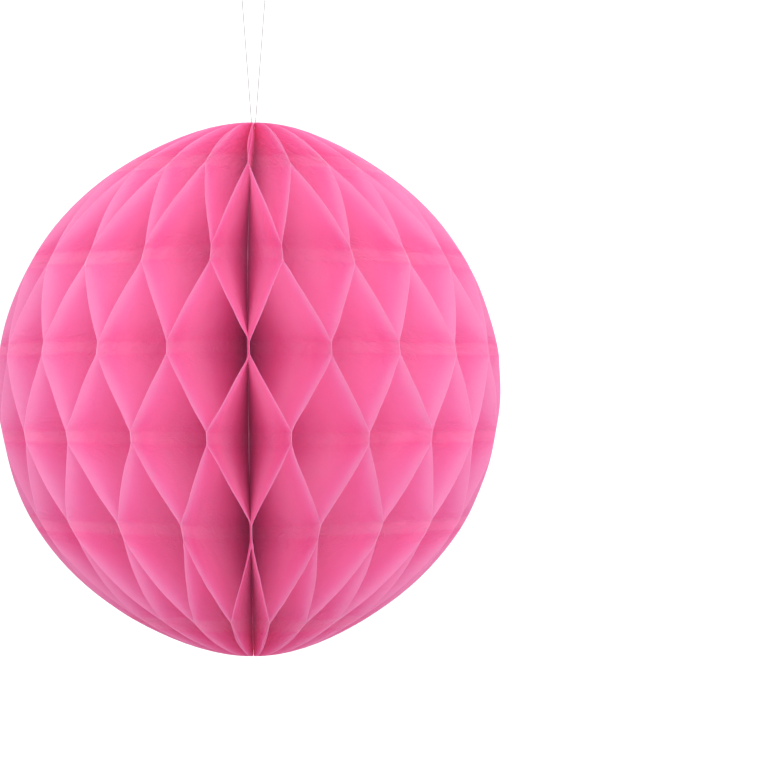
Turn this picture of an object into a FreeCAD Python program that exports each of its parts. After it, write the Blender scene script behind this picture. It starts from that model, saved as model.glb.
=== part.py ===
import FreeCAD, Part
import math
import os

# Paper honeycomb ball, opened out and hung by its own thread loop.
# Millimetres. The origin is the inside top of the loop, where a hook carries it; +Z is up along
# the spine and the closing seam is at the back (+Y). Shapes are drawn about the ball's centre
# and lowered by LOOP_TOP as they are saved. The first leaf and the last lie against the covers,
# which meet face to face at the seam and swing apart about the spine as the fan shuts.

# ---- driving dimensions -------------------------------------------------------------------
HALF_HEIGHT = 200.0                       # pole to centre
EQUATOR_RATIO = 0.94                      # equator radius / half height
LEAVES = 40                               # tissue leaves around the spine
LEAF_T = 0.20                             # stand-in for 0.04 mm tissue
GLUE_GAP = 0.04                           # glue film between two leaves
GLUE_BAND = 8.0                           # width of each glue line
GLUE_TOP = 170.0                          # height of the highest glue line on the flat leaf
GLUE_PITCH = 69.0                         # from one glue line to the next
GLUE_LINES = 6

SPINE_R = 3.0                             # bound spine core
SPINE_HALF = 195.0
SPINE_BORE = 0.9                          # for the thread
KNOT_POCKET_R = 1.9                       # hollow at each end, where a knot bears
KNOT_POCKET = 4.0
LEAF_R0 = SPINE_R + 0.05                  # inner edge of the leaves

CARD_T = 0.40                             # cover card
CARD_GAP = 0.10                           # between the two covers, for the closing tape
CARD_R0 = 6.0                             # the covers stop short of the spine, and are skived
CARD_SKIVE_TO = 16.0                      # thinner from here inwards, so that the fan can shut
CARD_EDGE_T = 0.10
CARD_INSET = 0.6                          # covers stop this far inside the tissue edge
CLEAR = 0.04                              # from a cover to the leaf beside it

TAPE_W = 10.0                             # closing tape pieces between the covers
TAPE_T = 0.08
TAPE_IN = 6.0                             # tape edge back from the card edge
TAPE_LATITUDES = ((-64.0, -38.0), (-13.0, 13.0), (38.0, 64.0))

THREAD_R = 0.35                           # white hanging thread
KNOT_R = 1.7                              # over the wraps
KNOT_CORE_R = 1.6
KNOT_FLAT = 0.88                          # the knot's flattened end, from its centre
KNOT_Z = SPINE_HALF - KNOT_POCKET + math.sqrt(KNOT_CORE_R ** 2 - SPINE_BORE ** 2) + 0.12
LOOP_TOP = 312.0                          # inside top of the loop above the centre
LOOP_BEND_R = 9.0                         # as the loop lies over a hook
LOOP_FOOT = 1.0                           # each strand's distance from the axis at the knot
LOOP_FOOT_Z = KNOT_Z + KNOT_FLAT + 0.03

GLUE_ROWS = [GLUE_TOP - k * GLUE_PITCH for k in range(GLUE_LINES)]
PITCH = 360.0 / LEAVES
HALF_PITCH = math.radians(PITCH / 2.0)
SEAM = 90.0                               # azimuth of the closing seam
STATIONS = (LEAF_R0 - 1.0, CARD_R0, CARD_SKIVE_TO, 70.0, 130.0, 165.0, 206.0)   # leaf sections


# ---- shared shapes ------------------------------------------------------------------------
def outline_radius(lat):
    """Distance from the centre to the tissue edge at a latitude in radians."""
    s = abs(math.sin(lat))
    return HALF_HEIGHT * (EQUATOR_RATIO + 0.02 * s ** 2 + 0.04 * s ** 16)


def outline_points(inset=0.0, lat0=-90.0, lat1=90.0, steps=72):
    points = []
    for k in range(steps + 1):
        lat = math.radians(lat0 + (lat1 - lat0) * k / steps)
        r = outline_radius(lat) - inset
        points.append(FreeCAD.Vector(r * math.cos(lat), 0, r * math.sin(lat)))
    return points


def envelope(inset=0.0):
    """The opened ball as one solid, bored out for the spine."""
    pts = outline_points(inset)
    top, bottom = FreeCAD.Vector(0, 0, pts[-1].z), FreeCAD.Vector(0, 0, pts[0].z)
    curve = Part.BSplineCurve()
    curve.interpolate([bottom] + pts[1:-1] + [top])
    face = Part.Face(Part.Wire([curve.toShape(), Part.makeLine(top, bottom)]))
    ball = face.revolve(FreeCAD.Vector(0, 0, 0), FreeCAD.Vector(0, 0, 1), 360)
    if ball.ShapeType != "Solid":
        ball = ball.Solids[0]
    bore = Part.makeCylinder(LEAF_R0, 3 * HALF_HEIGHT, FreeCAD.Vector(0, 0, -1.5 * HALF_HEIGHT))
    return ball.cut(bore).Solids[0]


def shrink(s):
    """How much a leaf shortens at distance s from the spine when its cells are pulled open."""
    return math.sqrt(1.0 - (2.0 * math.pi * s / (LEAVES * GLUE_PITCH)) ** 2)


def card_thickness(s):
    """A cover's thickness at distance s from the spine."""
    skive = (s - CARD_R0) / (CARD_SKIVE_TO - CARD_R0)
    return CARD_EDGE_T + (CARD_T - CARD_EDGE_T) * min(max(skive, 0.0), 1.0)


def side_offset(s, side, card_side):
    """Middle of the leaf where it meets its neighbour on one side (side = -1 or +1)."""
    inset = (LEAF_T + GLUE_GAP) / 2.0
    if card_side == side:
        inset = CARD_GAP / 2.0 + card_thickness(s) + CLEAR + LEAF_T / 2.0
    return side * (s * math.tan(HALF_PITCH) - inset)


def leaf_section(s, phase, card_side):
    """Closed thin zigzag wire of one leaf at distance s from the spine."""
    c = shrink(s)
    stops = []
    for k, row in enumerate(GLUE_ROWS):
        side = phase if k % 2 == 0 else -phase
        y = side_offset(s, side, card_side)
        stops.append((y, (row + GLUE_BAND / 2.0) * c))
        stops.append((y, (row - GLUE_BAND / 2.0) * c))
    beyond = 1.06 * HALF_HEIGHT             # past the outline, which trims it
    stops[0] = (stops[0][0], beyond)
    stops[-1] = (stops[-1][0], -beyond)
    half = LEAF_T / 2.0
    line = [(y + half, z) for y, z in stops] + [(y - half, z) for y, z in reversed(stops)]
    pts = [FreeCAD.Vector(s, y, z) for y, z in line]
    return Part.makePolygon(pts + [pts[0]])


def leaf(phase, card_side=0):
    """One tissue leaf with its middle plane on azimuth 0."""
    strip = Part.makeLoft([leaf_section(s, phase, card_side) for s in STATIONS], True, True)
    return strip.common(ENVELOPE).Solids[0]


def turned(shape, azimuth):
    out = shape.copy()
    out.rotate(FreeCAD.Vector(0, 0, 0), FreeCAD.Vector(0, 0, 1), azimuth)
    return out


def half_disc(side):
    """A cover card standing beside the seam plane (azimuth 0), on one side of it."""
    near = CARD_GAP / 2.0
    section = [(CARD_R0, near), (HALF_HEIGHT, near), (HALF_HEIGHT, near + CARD_T),
               (CARD_SKIVE_TO, near + CARD_T), (CARD_R0, near + CARD_EDGE_T)]
    base = -1.5 * HALF_HEIGHT
    points = [FreeCAD.Vector(x, side * y, base) for x, y in section]
    face = Part.Face(Part.makePolygon(points + [points[0]]))
    card = face.extrude(FreeCAD.Vector(0, 0, 3 * HALF_HEIGHT))
    return card.common(CARD_ENVELOPE).Solids[0]


def closing_tape():
    """Short curved pieces of double-sided tape near the edge of the moving cover."""
    pieces = []
    for lat0, lat1 in TAPE_LATITUDES:
        outer = outline_points(CARD_INSET + TAPE_IN, lat0, lat1, 12)
        inner = outline_points(CARD_INSET + TAPE_IN + TAPE_W, lat0, lat1, 12)
        loop = outer + inner[::-1]
        face = Part.Face(Part.makePolygon(loop + [loop[0]]))
        strip = face.extrude(FreeCAD.Vector(0, TAPE_T, 0))
        strip.translate(FreeCAD.Vector(0, -CARD_GAP / 2.0, 0))
        pieces.append(strip)
    return Part.makeCompound(pieces)


# ---- spine and thread ---------------------------------------------------------------------
def spine_core():
    """The glued inner edges of leaves and covers, as one tube with a pocket at each end."""
    z = FreeCAD.Vector(0, 0, -SPINE_HALF)
    core = Part.makeCylinder(SPINE_R, 2 * SPINE_HALF, z)
    core = core.cut(Part.makeCylinder(SPINE_BORE, 2 * SPINE_HALF, z))
    for base in (-SPINE_HALF, SPINE_HALF - KNOT_POCKET):
        pocket = Part.makeCylinder(KNOT_POCKET_R, KNOT_POCKET, FreeCAD.Vector(0, 0, base))
        core = core.cut(pocket)
    return core.Solids[0]


def spine_thread():
    half = KNOT_Z - KNOT_CORE_R
    return Part.makeCylinder(THREAD_R, 2 * half, FreeCAD.Vector(0, 0, -half))


def knot(end):
    """A tight knot bearing in the pocket at one end of the spine (end = -1 or +1): three wraps
    pulled into a ball and flattened on its outer side, where the strands of the loop stand."""
    body = Part.makeSphere(KNOT_CORE_R)
    for tilt, turn in ((0, 0), (58, 0), (58, 120)):
        wrap = Part.makeTorus(KNOT_R - THREAD_R, THREAD_R)
        wrap.rotate(FreeCAD.Vector(0, 0, 0), FreeCAD.Vector(1, 0, 0), tilt)
        wrap.rotate(FreeCAD.Vector(0, 0, 0), FreeCAD.Vector(0, 0, 1), turn)
        body = body.fuse(wrap)
    size = 2 * KNOT_R
    off = Part.makeBox(2 * size, 2 * size, size, FreeCAD.Vector(-size, -size, KNOT_FLAT))
    body = body.cut(off).Solids[0]
    if end < 0:
        body.rotate(FreeCAD.Vector(0, 0, 0), FreeCAD.Vector(1, 0, 0), 180)
    body.translate(FreeCAD.Vector(0, 0, end * KNOT_Z))
    return body


def loop_thread():
    """Two straight strands from the spine, joined by a bend over the hook point."""
    centre_z = LOOP_TOP - LOOP_BEND_R
    r = LOOP_BEND_R + THREAD_R
    dx, dz = LOOP_FOOT, centre_z - LOOP_FOOT_Z
    reach = math.hypot(dx, dz)
    # tangent from the foot of the right strand to the right side of the bend
    angle = math.atan2(-dz, dx) + math.acos(r / reach)
    tx, tz = r * math.cos(angle), centre_z + r * math.sin(angle)
    foot_r = FreeCAD.Vector(LOOP_FOOT, 0, LOOP_FOOT_Z)
    foot_l = FreeCAD.Vector(-LOOP_FOOT, 0, LOOP_FOOT_Z)
    tan_r, tan_l = FreeCAD.Vector(tx, 0, tz), FreeCAD.Vector(-tx, 0, tz)
    crown = FreeCAD.Vector(0, 0, centre_z + r)
    path = Part.Wire([Part.makeLine(foot_r, tan_r),
                      Part.Arc(tan_r, crown, tan_l).toShape(),
                      Part.makeLine(tan_l, foot_l)])
    along = tan_r.sub(foot_r)
    ring = Part.Wire(Part.makeCircle(THREAD_R, foot_r, along))
    return path.makePipeShell([ring], True, True)


# ---- build and export ---------------------------------------------------------------------
os.makedirs("parts", exist_ok=True)


def save(name, shape):
    shape = shape.copy()
    shape.translate(FreeCAD.Vector(0, 0, -LOOP_TOP))
    shape.exportStep("parts/" + name + ".step")
    print(name, shape.ShapeType, len(shape.Solids), shape.isValid(), round(shape.Volume, 2))


ENVELOPE = envelope()
CARD_ENVELOPE = envelope(CARD_INSET)

leaf_even, leaf_odd = leaf(+1), leaf(-1)
for n in range(LEAVES):
    azimuth = SEAM + (n + 0.5) * PITCH
    if n == 0:
        shape = leaf(-1, card_side=-1)
    elif n == LEAVES - 1:
        shape = leaf(+1, card_side=+1)
    else:
        shape = leaf_odd if n % 2 == 0 else leaf_even
    save("tissue_leaf_%02d" % (n + 1), turned(shape, azimuth))

save("cover_card_fixed", turned(half_disc(+1), SEAM))
save("cover_card_moving", turned(half_disc(-1), SEAM))
save("closing_tape", turned(closing_tape(), SEAM))
save("spine_core", spine_core())
save("spine_thread", spine_thread())
save("bottom_knot", knot(-1))
save("top_knot", knot(+1))
save("hanging_loop", loop_thread())
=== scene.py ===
"""Paper honeycomb ball: forty glued tissue leaves round a spine, hung by a thread loop."""
import math

import bpy
import numpy as np
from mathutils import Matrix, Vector


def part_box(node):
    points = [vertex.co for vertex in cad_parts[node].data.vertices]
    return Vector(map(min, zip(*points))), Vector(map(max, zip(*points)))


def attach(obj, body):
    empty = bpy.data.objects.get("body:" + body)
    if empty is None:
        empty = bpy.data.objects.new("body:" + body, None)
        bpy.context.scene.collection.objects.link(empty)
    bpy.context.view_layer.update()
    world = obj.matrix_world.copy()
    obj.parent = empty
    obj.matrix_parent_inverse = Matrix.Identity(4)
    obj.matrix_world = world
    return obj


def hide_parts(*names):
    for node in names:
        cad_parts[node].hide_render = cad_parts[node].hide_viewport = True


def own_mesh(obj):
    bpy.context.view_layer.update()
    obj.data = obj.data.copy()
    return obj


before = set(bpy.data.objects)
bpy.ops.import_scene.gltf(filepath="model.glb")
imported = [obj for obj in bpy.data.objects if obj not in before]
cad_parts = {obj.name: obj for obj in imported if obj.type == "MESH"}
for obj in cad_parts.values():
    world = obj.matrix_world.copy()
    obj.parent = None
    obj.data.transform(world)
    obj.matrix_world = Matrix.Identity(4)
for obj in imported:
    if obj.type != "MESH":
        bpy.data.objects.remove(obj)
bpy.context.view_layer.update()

# ---- the ball, in metres and radians; a name that part.py also has means the same there -----
LEAVES = 40
PITCH = 2 * math.pi / LEAVES                # angle between neighbouring leaves
HALF_PITCH = PITCH / 2
SEAM = math.pi / 2                          # azimuth of the closing seam, at the back
HALF_HEIGHT = 0.200
EQUATOR_RATIO = 0.94
GLUE_BAND = 0.008
GLUE_TOP = 0.170                            # height of the highest glue line on the flat leaf
GLUE_PITCH = 0.069
GLUE_LINES = 6
GLUE_ROWS = [GLUE_TOP - k * GLUE_PITCH for k in range(GLUE_LINES)]
LEAF_R0 = 0.00312                           # inner edge of the leaves along the spine
POLE_R = 0.0020                             # and beyond its ends, where they close round the thread
CLOSE_FROM = 0.1955                         # from this flat height, above and below the middle,
CLOSE_OVER = 0.0025                         # and over this much more
CARD_T = 0.0004
CARD_GAP = 0.0001
CARD_R0 = 0.006                             # the covers are skived thinner from CARD_SKIVE_TO to here
CARD_SKIVE_TO = 0.016
CARD_EDGE_T = 0.0001
CLEAR = 0.00008                             # tissue to card

LEAF_T = 0.00010                            # tissue as drawn here, half as thick as in part.py
GLUE_GAP = 0.00010                          # between two leaves at a glue line
GLUE_TURN = math.radians(0.45)              # a glue line may lie this far to the side
GLUE_RISE = 0.0010                          # or this far up or down
BEND = 0.80                                 # how sharply a leaf turns at its glue lines by the spine, up to 1
BEND_MORE = 0.19                            # and how much more so at the rim
PRESSED = 1.03                              # over 1, so two leaves lie together a little beyond their glue
PRESSED_MORE = 0.05                         # and how much more so at the rim
RIPPLE = 0.0008                             # waviness of the paper
RIPPLE_AWAY = 0.016                         # distance from a glue line at which it is full
RIPPLE_OUT = 0.12                           # and from the spine, for the puckers too
PUCKER = 0.00035                            # small folds that run out from the glue lines
PUCKER_REACH = 0.010
RIM_ERROR = 0.0007                          # unevenness of the cut edge
LOOSE = 0.28                                # how far leaves part beyond their last glue line
SIDEWAYS = -0.003                           # the opened ball is fuller on its -X side
SIDEWAYS_OUT = 0.11                         # fully so from this far out
BOW = -0.0045                               # the front leaves bow to -X near the spine,
BOW_HEIGHT = 0.085                          # most at this height,
BOW_ABOVE = 0.105                           # not at all this far above it
BOW_BELOW = 0.285                           # or below it,
BOW_OUT = 0.15                              # or this far out,
BOW_FRONT = 0.6                             # or where front, 1 at -Y and 0 at +Y, is down to this
TWIST = math.radians(4.5)                   # turn for each metre of height, at the front
UNEVEN = math.radians(2.2)                  # cells between front and sides are narrower, those behind wider

THREAD_D = 0.0007
LOOP_TOP = 0.312                            # inside top of the loop above the ball's centre
LOOP_BEND_R = 0.009                         # as the loop lies over a hook
LOOP_FOOT = 0.0010                          # each strand's distance from the axis at the knot
LOOP_FOOT_Z = 0.19335
PLIES = 2
PLY_R = 0.00019
PLY_SIDES = 7
PLY_STEP = 0.0004
TWIST_LENGTH = 0.0036                       # length of one full turn of the plies

UV_MM = 2000 * HALF_HEIGHT                  # one unit of the tissue's UV layers, in mm
DYE = (0.985, 0.37, 0.69)                   # of the tissue at its cut edge
PAINTED_LIGHT_INSIDE = (0.992, 0.72, 0.89)            # painted light: the tissue's colour near the spine, paler, standing in for the light that real tissue lets in deeper
PAINTED_LIGHT_DEPTH = 90.0                            # over which it changes, in mm
DEEPER_DYE_AND_SHADE = (0.99, 0.82, 0.92)                 # what a patch with more dye, and a crease given painted shade, is multiplied by
CARD_DYE = (0.85, 0.13, 0.36)
WHITE = (1.0, 1.0, 1.0)
SKY_BELOW = 0.56                            # brightness of the room straight down and straight up
SKY_ABOVE = 1.08
SEE_THROUGH = 0.70                          # share of the light that goes on through each face
DYE_THROUGH = 0.5                           # strength of the dye in that light, against 1 for the rest
KEY_PLACE = (0.3, -2.4, 0.5)                # from the ball's centre
KEY_SIZE = 2.4
KEY_POWER = 39.0
BOUNCES = 40

CAMERA_AWAY = 2.5                           # from the spine
VIEW_WIDTH = 0.5689                         # width of the view at the spine
AIM_SIDE = 0.0942                           # the view's middle, from the ball's centre
AIM_UP = 0.0077

(_, _, spine_bottom), (_, _, spine_top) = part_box("spine_core")
CENTRE_Z = (spine_bottom + spine_top) / 2


# ---- small helpers --------------------------------------------------------------------------
def mesh_object(name, verts, faces):
    data = bpy.data.meshes.new(name)
    data.from_pydata([tuple(v) for v in verts], [], [tuple(f) for f in faces])
    data.update()
    obj = bpy.data.objects.new(name, data)
    bpy.context.scene.collection.objects.link(obj)
    return obj


def smoothstep(x):
    x = np.clip(x, 0.0, 1.0)
    return x * x * (3.0 - 2.0 * x)


def outline_radius(lat):
    s = np.abs(np.sin(lat))
    return HALF_HEIGHT * (EQUATOR_RATIO + 0.02 * s ** 2 + 0.04 * s ** 16)


def shrink(s):
    """How much a leaf shortens at distance s from the spine when its cells are pulled open."""
    return np.sqrt(1.0 - (2.0 * math.pi * s / (LEAVES * GLUE_PITCH)) ** 2)


def rim_distance(flat_z):
    """Distance from the spine at which the leaf's cut edge lies, for each flat height."""
    low = np.zeros_like(flat_z)
    high = np.full_like(flat_z, HALF_HEIGHT)
    for _ in range(40):
        mid = (low + high) / 2
        z = flat_z * shrink(mid)
        inside = np.hypot(mid, z) < outline_radius(np.arctan2(z, mid))
        low, high = np.where(inside, mid, low), np.where(inside, high, mid)
    return (low + high) / 2


# ---- tissue leaves --------------------------------------------------------------------------
def glue_lines():
    """Small errors of each glue line, shared by the two leaves that it joins. There is a row for each gap
    between leaves."""
    rng = np.random.default_rng(40)
    shape = (LEAVES, len(GLUE_ROWS))
    turned = rng.uniform(-1, 1, shape) * GLUE_TURN
    raised = rng.uniform(-1, 1, shape) * GLUE_RISE
    turned[0] = 0                              # the two covers stand straight at the seam
    return turned, raised


def leaf_rows(index):
    """For each glue line of a leaf: its flat height and where it holds the leaf, from -1 to +1 between
    the leaf's neighbours."""
    phase = -1 if index % 2 == 0 else 1
    sides = [phase if k % 2 == 0 else -phase for k in range(len(GLUE_ROWS))]
    columns = [(index + (side > 0)) % LEAVES for side in sides]
    heights = [row + RAISED[c, k] for k, (row, c) in enumerate(zip(GLUE_ROWS, columns))]
    holds = [side + TURNED[c, k] / HALF_PITCH for k, (side, c) in enumerate(zip(sides, columns))]
    return np.array(heights), np.array(holds)


def mesh_heights(rows):
    """Flat heights of the mesh rows: close together at the glue lines and towards the poles."""
    tip = HALF_HEIGHT * 0.99985
    marks = [tip, *rows, -tip]
    out = []
    for k in range(len(marks) - 1):
        steps = 12 if k in (0, len(marks) - 2) else 18
        t = np.arange(steps) / steps
        t = t - 0.75 * np.sin(2 * math.pi * t) / (2 * math.pi)
        out.append(marks[k] + (marks[k + 1] - marks[k]) * t)
    return np.concatenate(out + [[marks[-1]]])


def zigzag(flat_z, s, rim, rows, holds, loose):
    """Where the leaf lies between its two neighbours, from -1 to +1. The paper is drawn tight from one glue
    line to the next: its cut edge runs straight on from the line that is further out from the spine."""
    depth = s / rim
    sharp = BEND + BEND_MORE * depth ** 1.5        # straighter runs and tighter bends towards the rim
    out_rows = rim_distance(rows)
    w = np.zeros(s.shape)
    for k in range(len(rows) - 1):
        p = (rows[k] - flat_z) / (rows[k] - rows[k + 1])
        upper, lower = out_rows[k], out_rows[k + 1]
        edge = p * lower / rim if upper > lower else 1 - (1 - p) * upper / rim
        share = np.clip(p + (edge - p) * depth ** 2, 0, 1)
        wave = np.arcsin(sharp * np.cos(math.pi * share)) / np.arcsin(sharp)
        wave = np.clip(wave * (PRESSED + PRESSED_MORE * depth), -1, 1)
        middle, half = (holds[k] + holds[k + 1]) / 2, (holds[k] - holds[k + 1]) / 2
        w = np.where((p >= 0) & (p <= 1), middle + half * wave, w)
    for end, tip in ((0, HALF_HEIGHT), (-1, -HALF_HEIGHT)):
        q = (flat_z - rows[end]) / (tip - rows[end])
        opened = loose[end] * np.sin(math.pi * np.clip(q, 0, 1)) ** 2
        w = np.where(q > 0, holds[end] * (1 - opened), w)
    return w


def ripple(s, flat_z, rows, rng):
    """Slight waviness of the paper between its glue lines and puckers beside them, in metres."""
    wave = np.zeros_like(s)
    for _ in range(5):
        across, along = rng.uniform(25, 70), rng.uniform(15, 60)
        wave += np.sin(s * across + flat_z * along * rng.choice((-1, 1)) + rng.uniform(0, 2 * math.pi))
    near = np.min(np.abs(flat_z[..., None] - rows), axis=-1) - GLUE_BAND / 2
    pucker = np.zeros_like(s)
    for row in rows:
        lean = (s + np.abs(flat_z - row) * rng.choice((-0.7, 0.7))) * rng.uniform(190, 260)
        side = np.sin(lean + rng.uniform(0, 2 * math.pi)) * np.sin(lean * 0.31 + rng.uniform(0, 2 * math.pi))
        away = np.clip(np.abs(flat_z - row) - GLUE_BAND / 2, 0, None) / PUCKER_REACH
        pucker += side * away * np.exp(1 - away)
    return (RIPPLE * wave / 5 * smoothstep(near / RIPPLE_AWAY) + PUCKER * pucker) * smoothstep(s / RIPPLE_OUT)


def settle(x, y, z):
    """How the real ball departs from the ideal one: fuller on one side, slightly twisted, its cells uneven
    and its front leaves bowed. Nothing moves at the seam, and at the spine only the bow moves the leaves."""
    reach = np.hypot(x, y)
    from_front = np.arctan2(y, x) + math.pi / 2
    front = (1 + np.cos(from_front)) / 2
    turn = -TWIST * z * front - UNEVEN * np.sin(from_front) * np.abs(np.sin(from_front))
    azimuth = from_front + turn - math.pi / 2
    side = SIDEWAYS * smoothstep(reach / SIDEWAYS_OUT) * smoothstep(front * 3.0)
    height = np.clip((z - BOW_HEIGHT) / np.where(z > BOW_HEIGHT, BOW_ABOVE, BOW_BELOW), -1, 1)
    bow = BOW * np.cos(math.pi / 2 * height) * smoothstep(1 - reach / BOW_OUT)
    bow = bow * smoothstep((front - BOW_FRONT) * 4)
    x, y = reach * np.cos(azimuth) + side + bow, reach * np.sin(azimuth)
    nearest = np.minimum(reach, LEAF_R0)       # so that the bow doesn't push a leaf into the spine
    clear = np.maximum(1, nearest / np.maximum(np.hypot(x, y), 1e-6))
    return x * clear, y * clear, z


def leaf_insets(index, s):
    """How far a leaf stays inside its share of the circle on its two sides, for glue or for a cover card."""
    plus = np.full_like(s, (LEAF_T + GLUE_GAP) / 2)
    minus = plus.copy()
    skive = np.clip((s - CARD_R0) / (CARD_SKIVE_TO - CARD_R0), 0, 1)
    card = CARD_EDGE_T + (CARD_T - CARD_EDGE_T) * skive + CARD_GAP / 2 + LEAF_T / 2 + CLEAR
    if index == 0:
        minus = card
    if index == LEAVES - 1:
        plus = card
    return minus, plus


def leaf_grid(index, cols=36):
    """Points of the middle of a leaf's paper, before it is turned into place: distance from the spine,
    distance to the side and height, with the flat height and the distance from the cut edge."""
    rng = np.random.default_rng(500 + index)
    rows, holds = leaf_rows(index)
    heights = mesh_heights(rows)
    rim = rim_distance(heights)
    uneven = sum(np.sin(heights * rng.uniform(40, 130) + rng.uniform(0, 2 * math.pi)) for _ in range(3)) / 3
    rim = (rim + RIM_ERROR * uneven * rim / HALF_HEIGHT)[:, None]
    depth = 1 - (1 - np.linspace(0, 1, cols)[None, :]) ** 1.25
    close = smoothstep((np.abs(heights) - CLOSE_FROM) / CLOSE_OVER)
    inner = LEAF_R0 + (POLE_R - LEAF_R0) * close[:, None]
    s = inner + (rim - inner) * depth
    flat_z = np.broadcast_to(heights[:, None], s.shape)
    loose = LOOSE * rng.uniform(0.4, 1.0, 2)
    w = zigzag(flat_z, s, rim, rows, holds, loose)
    minus, plus = leaf_insets(index, s)
    reach = s * math.tan(HALF_PITCH)
    y = (minus - plus) / 2 + w * (reach - (minus + plus) / 2)
    y = y + ripple(s, flat_z, rows, rng)
    near = np.min(np.abs(flat_z[..., None] - rows), axis=-1)
    return s, y, flat_z * shrink(s), flat_z, rim - s, near


def leaf_mesh(index):
    """A closed thin sheet: two faces joined round the cut edge and along the spine."""
    s, y, z, flat_z, from_rim, from_glue = leaf_grid(index)
    angle = SEAM + (index + 0.5) * PITCH
    faces_xyz = []
    for lift in (LEAF_T / 2, -LEAF_T / 2):
        side = y + lift
        px, py, pz = settle(s * math.cos(angle) - side * math.sin(angle),
                            s * math.sin(angle) + side * math.cos(angle), z)
        faces_xyz.append(np.stack([px, py, pz + CENTRE_Z], -1).reshape(-1, 3))
    rows, cols = s.shape
    ids = np.arange(rows * cols).reshape(rows, cols)
    a, b, c, d = ids[:-1, :-1], ids[:-1, 1:], ids[1:, 1:], ids[1:, :-1]
    one = np.stack([a, d, c, b], -1).reshape(-1, 4)
    other = np.stack([a, b, c, d], -1).reshape(-1, 4) + rows * cols
    border = np.concatenate([ids[0, :-1], ids[:-1, -1], ids[-1, :0:-1], ids[:0:-1, 0]])
    after = np.roll(border, -1)
    edge = np.stack([border, after, after + rows * cols, border + rows * cols], -1)
    obj = mesh_object(f"tissue_{index + 1:02d}", np.concatenate(faces_xyz),
                      np.concatenate([one, other, edge]))
    add_uv(obj, "paper", from_rim / (2 * HALF_HEIGHT), (flat_z + HALF_HEIGHT) / (2 * HALF_HEIGHT))
    add_uv(obj, "glue", from_glue / (2 * HALF_HEIGHT), np.full_like(s, (index * 0.618) % 1))
    obj.data.polygons.foreach_set("use_smooth", [True] * len(obj.data.polygons))
    keep_sharp(obj, set(border.tolist()), rows * cols)
    return obj


def keep_sharp(obj, border, count):
    """Marks the two borders of a thin sheet, so that its faces are shaded flat up to the cut edge."""
    ends = np.empty(len(obj.data.edges) * 2, dtype=np.int64)
    obj.data.edges.foreach_get("vertices", ends)
    one, other = (ends % count).reshape(-1, 2).T
    same_side = (ends // count).reshape(-1, 2)
    on_border = np.isin(one, list(border)) & np.isin(other, list(border))
    obj.data.edges.foreach_set("use_edge_sharp", on_border & (same_side[:, 0] == same_side[:, 1]))


def add_uv(obj, name, u, v):
    """A UV layer from one value per point of a sheet's grid, the same on both faces."""
    layer = obj.data.uv_layers.new(name=name)
    per_point = np.tile(np.stack([u, v], -1).reshape(-1, 2), (2, 1))
    loops = np.empty(len(obj.data.loops), dtype=np.int64)
    obj.data.loops.foreach_get("vertex_index", loops)
    layer.data.foreach_set("uv", per_point[loops].ravel())


def tissue_leaves(material):
    for index in range(LEAVES):
        obj = leaf_mesh(index)
        obj.data.materials.append(material)
        body = f"leaf_{index + 1:02d}"
        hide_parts(f"tissue_leaf_{index + 1:02d}")
        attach(obj, body)
        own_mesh(obj)


# ---- materials ------------------------------------------------------------------------------
class Graph:
    """A node material under construction."""

    def __init__(self, name):
        self.material = bpy.data.materials.new(name)
        self.material.use_nodes = True
        self.tree = self.material.node_tree
        self.tree.nodes.clear()

    def node(self, kind, inputs=(), **settings):
        """Adds a node. inputs maps a socket's name or number to a value or to another node's output."""
        made = self.tree.nodes.new(kind)
        for key, value in settings.items():
            setattr(made, key, value)
        for key, value in dict(inputs).items():
            if isinstance(value, bpy.types.NodeSocket):
                self.tree.links.new(value, made.inputs[key])
            else:
                made.inputs[key].default_value = value
        return made

    def math(self, operation, a, b=0.0, clamp=False):
        return self.node("ShaderNodeMath", {0: a, 1: b}, operation=operation, use_clamp=clamp).outputs[0]

    def ramp(self, value, low, high, to_low=0.0, to_high=1.0):
        """value taken smoothly from low..high to to_low..to_high."""
        return self.node("ShaderNodeMapRange",
                         {0: value, 1: low, 2: high, 3: to_low, 4: to_high},
                         interpolation_type="SMOOTHSTEP").outputs[0]

    def noise(self, vector, scale, detail=3.0, roughness=0.5, distortion=0.0):
        return self.node("ShaderNodeTexNoise", {"Vector": vector, "Scale": scale, "Detail": detail,
                                                "Roughness": roughness, "Distortion": distortion}).outputs[0]

    def stretched(self, vector, scale):
        return self.node("ShaderNodeMapping", {"Vector": vector, "Scale": scale}).outputs[0]

    def tint(self, colour, factor, other, blend="MIX"):
        """colour mixed towards other, or multiplied by it, by factor."""
        made = self.node("ShaderNodeMix", {0: factor}, data_type="RGBA", blend_type=blend)
        for number, value in ((6, colour), (7, other)):
            if isinstance(value, bpy.types.NodeSocket):
                self.tree.links.new(value, made.inputs[number])
            else:
                made.inputs[number].default_value = (*value, 1)
        return made.outputs[2]

    def finish(self, shader):
        out = self.node("ShaderNodeOutputMaterial")
        self.tree.links.new(shader, out.inputs["Surface"])
        return self.material


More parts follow.
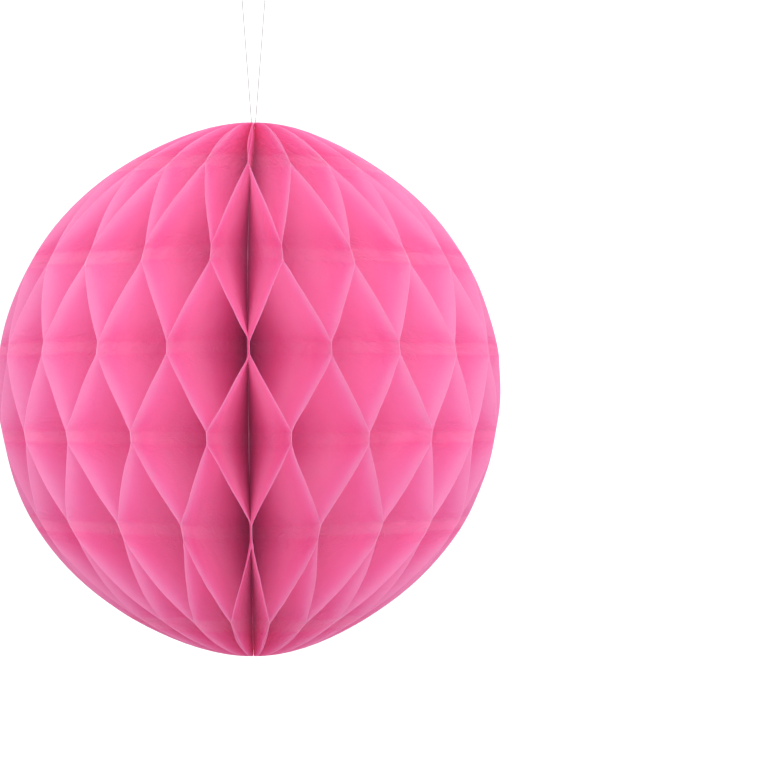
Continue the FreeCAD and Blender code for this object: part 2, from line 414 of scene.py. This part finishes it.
def tissue_material():
    """Thin dyed tissue: it scatters light from both sides, and is paler where it is glued and in a fine line
    at its cut edge. Painted light makes it paler in a band along its cut edge and towards the spine, and
    painted shade darkens the crinkles near its glue lines."""
    g = Graph("pink_tissue")
    sheet = g.node("ShaderNodeUVMap", uv_map="paper").outputs[0]
    glue = g.node("ShaderNodeSeparateXYZ", {0: g.node("ShaderNodeUVMap", uv_map="glue").outputs[0]})
    place = g.node("ShaderNodeSeparateXYZ", {0: sheet})
    apart = g.node("ShaderNodeCombineXYZ", {0: place.outputs[0], 1: place.outputs[1],
                                            2: g.math("MULTIPLY", glue.outputs[1], 7.0)}).outputs[0]
    rim_mm = g.math("MULTIPLY", place.outputs[0], UV_MM)
    glue_mm = g.math("MULTIPLY", glue.outputs[0], UV_MM)

    clouds = g.noise(apart, 9.0, 3.0, 0.55)
    fibres = g.noise(g.stretched(apart, (420.0, 120.0, 30.0)), 1.0, 4.0, 0.65, 0.6)
    crinkle = g.noise(g.stretched(apart, (26.0, 58.0, 9.0)), 1.0, 4.0, 0.6, 1.3)
    creases = g.ramp(g.math("ABSOLUTE", g.math("SUBTRACT", crinkle, 0.5)), 0.0, 0.035, 1.0, 0.0)
    by_glue = g.ramp(glue_mm, 3.0, 22.0, 1.0, 0.25)
    patchy = g.noise(g.stretched(apart, (22.0, 60.0, 9.0)), 1.0, 2.0, 0.5)
    glue_mm = g.math("ADD", glue_mm, g.math("MULTIPLY", g.math("SUBTRACT", patchy, 0.5), 5.0))
    band = g.ramp(glue_mm, 2.6, 5.2, 1.0, 0.0)
    band_edge = g.ramp(g.math("ABSOLUTE", g.math("SUBTRACT", glue_mm, 4.2)), 0.1, 0.9, 1.0, 0.0)
    cut_edge = g.ramp(rim_mm, 0.15, 1.1, 1.0, 0.0)

    # painted light: the colour grows paler from the cut edge towards the spine, for light that gets deep into
    # the cells
    colour = g.tint(DYE, g.ramp(rim_mm, 0.0, PAINTED_LIGHT_DEPTH), PAINTED_LIGHT_INSIDE)
    colour = g.tint(colour, g.ramp(clouds, 0.35, 0.7, 0.0, 0.5), DEEPER_DYE_AND_SHADE, "MULTIPLY")
    # painted shade: darker lines along the crinkles, most near the glue lines
    crease_shade = g.math("MULTIPLY", creases, g.math("MULTIPLY", by_glue, 0.45))
    colour = g.tint(colour, crease_shade, DEEPER_DYE_AND_SHADE, "MULTIPLY")
    colour = g.tint(colour, g.ramp(fibres, 0.45, 0.75, 0.0, 0.06), WHITE)
    colour = g.tint(colour, g.math("MULTIPLY", band, g.ramp(clouds, 0.3, 0.7, 0.20, 0.08)), WHITE)
    colour = g.tint(colour, g.math("MULTIPLY", band_edge, 0.06), WHITE)
    # painted light: paler over the first 18 mm from the cut edge, as light falls on each cell's near edge
    colour = g.tint(colour, g.ramp(rim_mm, 2.0, 18.0, 0.13, 0.0), WHITE)
    colour = g.tint(colour, g.math("MULTIPLY", cut_edge, 0.06), WHITE)

    height = g.math("ADD", g.math("MULTIPLY", fibres, 0.25),
                    g.math("ADD", g.math("MULTIPLY", g.math("MULTIPLY", crinkle, by_glue), 4.0),
                           g.math("MULTIPLY", band, 0.3)))
    bump = g.node("ShaderNodeBump", {"Height": height, "Strength": 0.5, "Distance": 0.0006}).outputs[0]
    skin = g.node("ShaderNodeBsdfPrincipled", {"Base Color": colour, "Normal": bump, "Roughness": 0.85,
                                               "Specular IOR Level": 0.05})
    through = g.node("ShaderNodeGamma", {0: colour, 1: DYE_THROUGH}).outputs[0]
    glow = g.node("ShaderNodeBsdfTranslucent", {"Color": through, "Normal": bump})
    mix = g.node("ShaderNodeMixShader", {0: SEE_THROUGH, 1: skin.outputs[0], 2: glow.outputs[0]})
    return g.finish(mix.outputs[0])


def card_material():
    """Dyed card: even colour, faint fibre and a slightly scuffed surface."""
    g = Graph("pink_card")
    where = g.node("ShaderNodeTexCoord").outputs["Object"]
    fibre = g.noise(where, 900.0, 4.0, 0.7)
    clouds = g.noise(where, 30.0, 3.0, 0.5)
    colour = g.tint(CARD_DYE, g.ramp(fibre, 0.4, 0.7, 0.0, 0.25), (0.93, 0.40, 0.62))
    colour = g.tint(colour, g.ramp(clouds, 0.4, 0.7, 0.0, 0.3), (0.70, 0.07, 0.22))
    bump = g.node("ShaderNodeBump", {"Height": fibre, "Strength": 0.3, "Distance": 0.0001}).outputs[0]
    skin = g.node("ShaderNodeBsdfPrincipled", {"Base Color": colour, "Normal": bump, "Roughness": 0.6,
                                               "Specular IOR Level": 0.25})
    return g.finish(skin.outputs[0])


def tape_material():
    """Double-sided paper tape with its dull backing."""
    g = Graph("paper_tape")
    where = g.node("ShaderNodeTexCoord").outputs["Object"]
    crepe = g.noise(g.stretched(where, (1.0, 1.0, 6.0)), 500.0, 3.0, 0.6)
    colour = g.tint((0.90, 0.88, 0.82), g.ramp(crepe, 0.4, 0.7), (0.78, 0.75, 0.68))
    bump = g.node("ShaderNodeBump", {"Height": crepe, "Strength": 0.4, "Distance": 0.0001}).outputs[0]
    skin = g.node("ShaderNodeBsdfPrincipled", {"Base Color": colour, "Normal": bump, "Roughness": 0.55})
    return g.finish(skin.outputs[0])


def core_material():
    """The spine: stacked tissue edges under dried glue, seen as fine lines along it."""
    g = Graph("glued_spine")
    where = g.node("ShaderNodeTexCoord").outputs["Object"]
    edges = g.noise(g.stretched(where, (9.0, 9.0, 0.3)), 400.0, 3.0, 0.6)
    colour = g.tint((0.82, 0.17, 0.36), g.ramp(edges, 0.35, 0.65, 0.0, 0.5), (0.92, 0.26, 0.47))
    bump = g.node("ShaderNodeBump", {"Height": edges, "Strength": 0.5, "Distance": 0.0002}).outputs[0]
    skin = g.node("ShaderNodeBsdfPrincipled", {"Base Color": colour, "Normal": bump, "Roughness": 0.7,
                                               "Specular IOR Level": 0.2})
    return g.finish(skin.outputs[0])


def thread_material():
    """Cotton thread, grey enough to be seen in front of the white backdrop."""
    g = Graph("cotton_thread")
    where = g.node("ShaderNodeTexCoord").outputs["Object"]
    fluff = g.noise(where, 2600.0, 3.0, 0.7)
    colour = g.tint((0.38, 0.38, 0.37), g.ramp(fluff, 0.35, 0.7), (0.28, 0.28, 0.27))
    bump = g.node("ShaderNodeBump", {"Height": fluff, "Strength": 0.5, "Distance": 0.0001}).outputs[0]
    skin = g.node("ShaderNodeBsdfPrincipled", {"Base Color": colour, "Normal": bump, "Roughness": 0.85})
    return g.finish(skin.outputs[0])


def studio_material():
    """A white backdrop that glows a little."""
    g = Graph("studio_white")
    where = g.node("ShaderNodeTexCoord").outputs["Object"]
    colour = g.tint((0.93, 0.93, 0.93), g.noise(where, 3.0, 2.0), (0.91, 0.91, 0.91))
    skin = g.node("ShaderNodeBsdfPrincipled", {"Base Color": colour, "Roughness": 0.95,
                                               "Emission Color": (1, 1, 1, 1), "Emission Strength": 0.5})
    return g.finish(skin.outputs[0])


def paint(node, material):
    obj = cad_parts[node]
    obj.data.materials.clear()
    obj.data.materials.append(material)


# ---- hanging thread -------------------------------------------------------------------------
def loop_route():
    """The loop's control points: up one strand, round the hook point and down the other."""
    foot = (LOOP_FOOT, LOOP_FOOT_Z)
    middle_z = LOOP_TOP - LOOP_BEND_R
    radius = LOOP_BEND_R + THREAD_D / 2
    reach = math.hypot(foot[0], middle_z - foot[1])
    start = math.atan2(foot[1] - middle_z, foot[0]) + math.acos(radius / reach)
    turn = math.pi - 2 * start
    corners = 4
    outside = radius / math.cos(turn / corners / 2)
    bend = []
    for k in range(corners):
        a = start + turn * (k + 0.5) / corners
        bend.append((outside * math.cos(a), middle_z + outside * math.sin(a)))
    meet = (radius * math.cos(start), middle_z + radius * math.sin(start))
    before = [foot, *[tuple(f + (m - f) * t for f, m in zip(foot, meet)) for t in (0.5, 0.96)]]
    after = [(-x, z) for x, z in reversed(before)]
    return [(x, 0.0, z + CENTRE_Z) for x, z in before + bend + after]


def nurbs(name, points):
    data = bpy.data.curves.new(name, "CURVE")
    data.dimensions = "3D"
    data.resolution_u = 24
    spline = data.splines.new("NURBS")
    spline.points.add(len(points) - 1)
    for point, place in zip(spline.points, points):
        point.co = (*place, 1.0)
    spline.order_u = 3
    spline.use_endpoint_u = True
    obj = bpy.data.objects.new(name, data)
    bpy.context.scene.collection.objects.link(obj)
    return obj


def path_of(curve):
    """Points along a curve that has no bevel, evenly spaced, as an array."""
    mesh = bpy.data.meshes.new_from_object(curve)
    points = np.array([v.co for v in mesh.vertices])
    step = np.linalg.norm(np.diff(points, axis=0), axis=1)
    along = np.concatenate([[0], np.cumsum(step)])
    even = np.linspace(0, along[-1], int(along[-1] / PLY_STEP) + 1)
    return np.stack([np.interp(even, along, points[:, k]) for k in range(3)], -1), even


def hanging_loop(material):
    """Two plies twisted together along the route."""
    curve = nurbs("loop_line", loop_route())
    path, along = path_of(curve)
    ahead = np.gradient(path, axis=0)
    ahead /= np.linalg.norm(ahead, axis=1)[:, None]
    across = np.array([0.0, 1.0, 0.0])[None, :].repeat(len(path), 0)
    other = np.cross(ahead, across)
    verts, faces = [], []
    ring = np.arange(PLY_SIDES) * 2 * math.pi / PLY_SIDES
    for ply in range(PLIES):
        twist = 2 * math.pi * (along / TWIST_LENGTH + ply / PLIES)
        out = np.cos(twist)[:, None] * across + np.sin(twist)[:, None] * other
        centre = path + out * (THREAD_D / 2 - PLY_R)
        first = len(verts)
        for i in range(len(path)):
            for a in ring:
                verts.append(centre[i] + PLY_R * (math.cos(a) * across[i] + math.sin(a) * other[i]))
        n = PLY_SIDES
        for i in range(len(path) - 1):
            for k in range(n):
                a, b = first + i * n + k, first + i * n + (k + 1) % n
                faces.append((a, b, b + n, a + n))
        faces.append(tuple(first + k for k in reversed(range(n))))
        faces.append(tuple(first + (len(path) - 1) * n + k for k in range(n)))
    obj = mesh_object("thread_loop", verts, faces)
    obj.data.polygons.foreach_set("use_smooth", [len(f) == 4 for f in faces])
    obj.data.materials.append(material)
    bpy.data.objects.remove(curve)
    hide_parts("hanging_loop")
    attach(obj, "spine")


# ---- stage, light and camera ----------------------------------------------------------------
def camera():
    data = bpy.data.cameras.new("camera")
    cam = bpy.data.objects.new("camera", data)
    bpy.context.scene.collection.objects.link(cam)
    bpy.context.scene.camera = cam
    data.sensor_width = 36.0
    data.lens = data.sensor_width * CAMERA_AWAY / VIEW_WIDTH
    data.clip_end = 50
    cam.location = (0, -CAMERA_AWAY, CENTRE_Z)
    aim = Vector((AIM_SIDE, 0, CENTRE_Z + AIM_UP))
    cam.rotation_mode = "QUATERNION"
    cam.rotation_quaternion = (aim - cam.location).to_track_quat("-Z", "Y")


def stage():
    """A white floor that curves up into a round white wall."""
    across, floor, height, curve = 3.3, CENTRE_Z - 2.2, 7.0, 0.9
    profile = [(0.02, floor), (across, floor)]
    for k in range(1, 13):
        t = k / 12 * math.pi / 2
        profile.append((across + curve * math.sin(t), floor + curve - curve * math.cos(t)))
    profile.append((across + curve, floor + height))
    steps = 96
    verts, faces = [], []
    for r, z in profile:
        verts += [(r * math.cos(2 * math.pi * k / steps), r * math.sin(2 * math.pi * k / steps), z)
                  for k in range(steps)]
    for i in range(len(profile) - 1):
        for k in range(steps):
            a, b = i * steps + k, i * steps + (k + 1) % steps
            faces.append((a, b, b + steps, a + steps))
    faces.append(tuple(range(steps))[::-1])
    obj = mesh_object("studio_floor", verts, faces)
    obj.data.polygons.foreach_set("use_smooth", [True] * len(faces))
    obj.data.materials.append(studio_material())
    obj.visible_diffuse = False                # the backdrop is there to be seen and lights nothing
    obj.visible_transmission = False
    obj.visible_shadow = False


def area_light(name, place, target, size, power):
    data = bpy.data.lights.new(name, "AREA")
    data.shape = "DISK"
    data.size = size
    data.energy = power
    obj = bpy.data.objects.new(name, data)
    bpy.context.scene.collection.objects.link(obj)
    obj.visible_camera = False
    obj.location = place
    obj.rotation_mode = "QUATERNION"
    obj.rotation_quaternion = (Vector(target) - Vector(place)).to_track_quat("-Z", "Y")


def lights():
    world = bpy.data.worlds.new("world")
    bpy.context.scene.world = world
    world.use_nodes = True
    nodes, links = world.node_tree.nodes, world.node_tree.links
    height = nodes.new("ShaderNodeSeparateXYZ")
    brighter = nodes.new("ShaderNodeMapRange")
    for number, value in ((1, -1.0), (2, 1.0), (3, SKY_BELOW), (4, SKY_ABOVE)):
        brighter.inputs[number].default_value = value
    links.new(nodes.new("ShaderNodeTexCoord").outputs["Generated"], height.inputs[0])
    links.new(height.outputs[2], brighter.inputs[0])
    links.new(brighter.outputs[0], nodes["Background"].inputs["Strength"])
    nodes["Background"].inputs["Color"].default_value = (1, 1, 1, 1)
    centre = Vector((0, 0, CENTRE_Z))
    area_light("key", centre + Vector(KEY_PLACE), centre, KEY_SIZE, KEY_POWER)
    scene = bpy.context.scene
    scene.view_settings.view_transform = "Standard"
    scene.cycles.max_bounces = BOUNCES          # light goes through and between many leaves
    scene.cycles.diffuse_bounces = BOUNCES
    scene.cycles.transmission_bounces = BOUNCES


# ---- make everything ------------------------------------------------------------------------
TURNED, RAISED = glue_lines()
camera()
tissue_leaves(tissue_material())
card, thread = card_material(), thread_material()
paint("cover_card_fixed", card)
paint("cover_card_moving", card)
paint("closing_tape", tape_material())
paint("spine_core", core_material())
for piece in ("spine_thread", "bottom_knot", "top_knot"):
    paint(piece, thread)
hanging_loop(thread)
stage()
lights()
